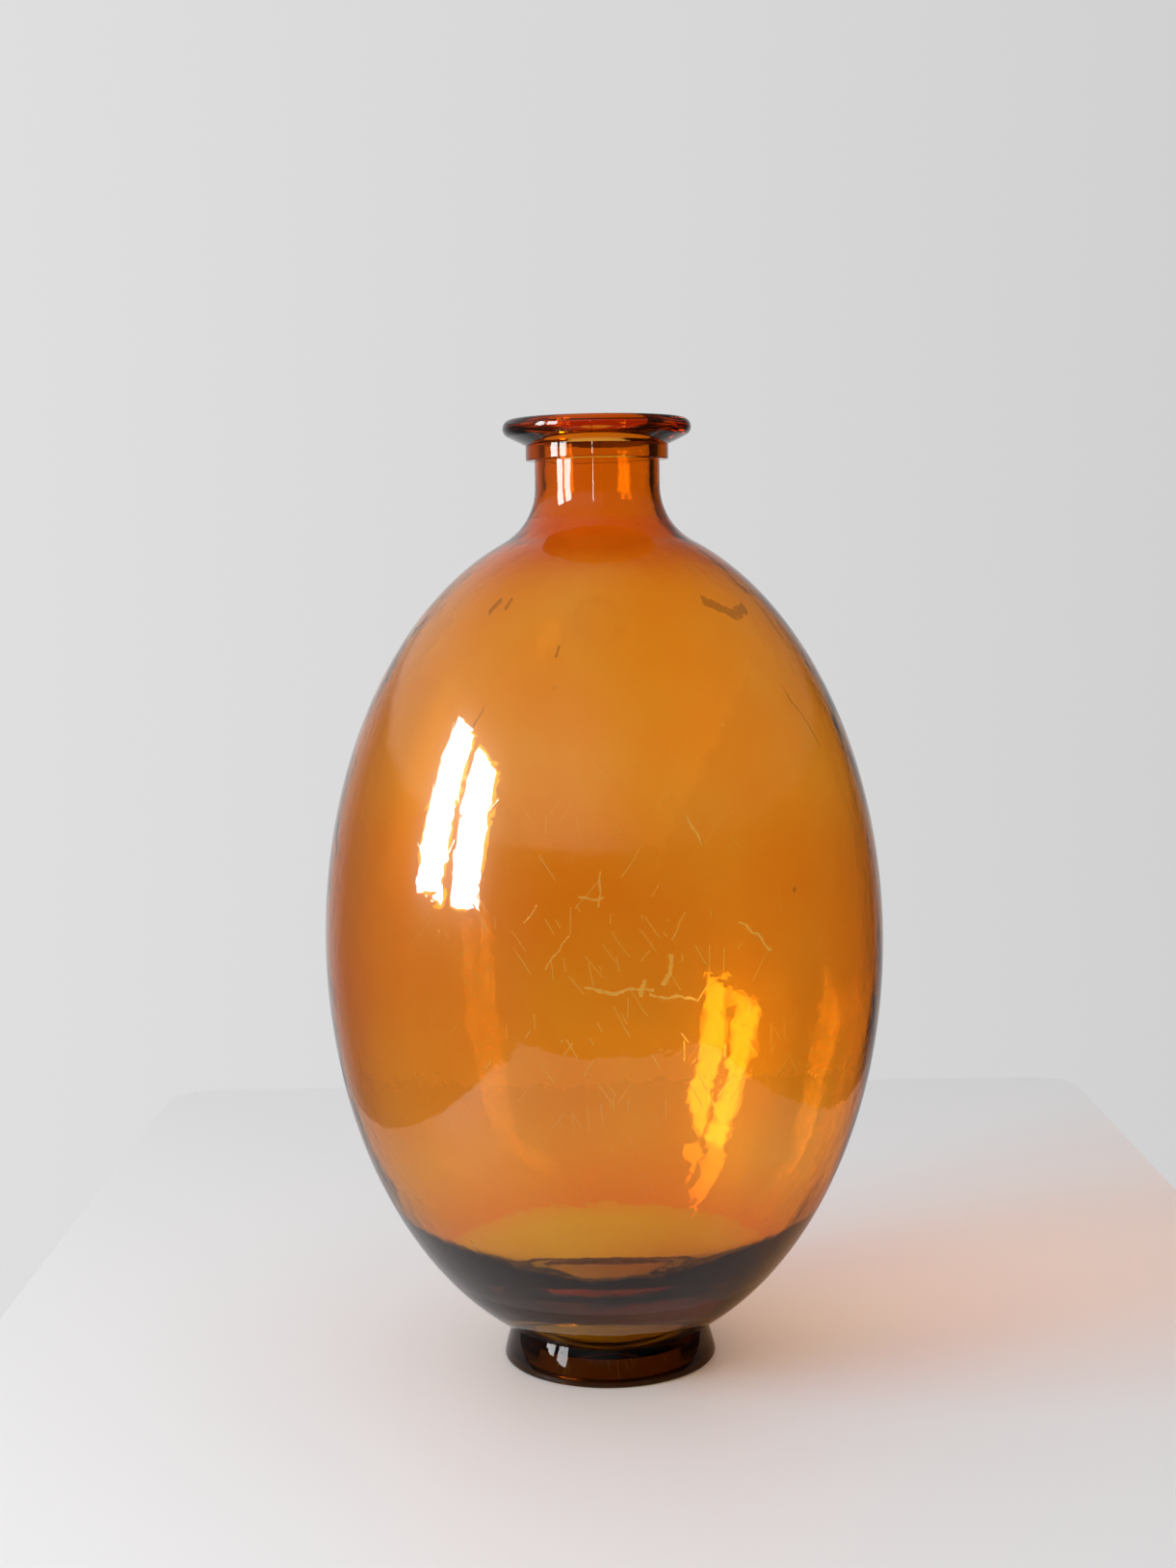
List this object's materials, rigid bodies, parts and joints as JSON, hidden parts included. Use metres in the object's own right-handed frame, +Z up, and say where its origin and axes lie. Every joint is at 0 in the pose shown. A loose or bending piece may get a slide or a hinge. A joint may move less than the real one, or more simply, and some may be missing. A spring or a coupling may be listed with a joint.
{
  "type": "footed ovoid glass vase",
  "caption": "Egg-shaped vase of mould-blown amber glass with a short neck, stepped collar, flared lip and foot ring.",
  "frame": {"origin": "centre of the foot ring on the surface that the vase stands on", "axes": "+Z up along the vase's axis of turning; the mould seams lie at -Y, the front, and +Y"},
  "size_m": [0.2539, 0.254, 0.43],
  "materials": {
    "amber_glass": "gloss, transparent orange amber",
    "deep_amber_glass": "gloss, transparent deep amber",
    "dark_amber_glass": "gloss, thick red-brown amber",
    "smoked_amber_glass": "gloss, thick smoky brown-olive"
  },
  "bodies": {
    "root": {"foot_ring": "smoked_amber_glass", "base_pad": "smoked_amber_glass", "body": "amber_glass", "neck": "deep_amber_glass", "collar_ring": "deep_amber_glass", "lip_ring": "dark_amber_glass"}
  },
  "joints": []
}
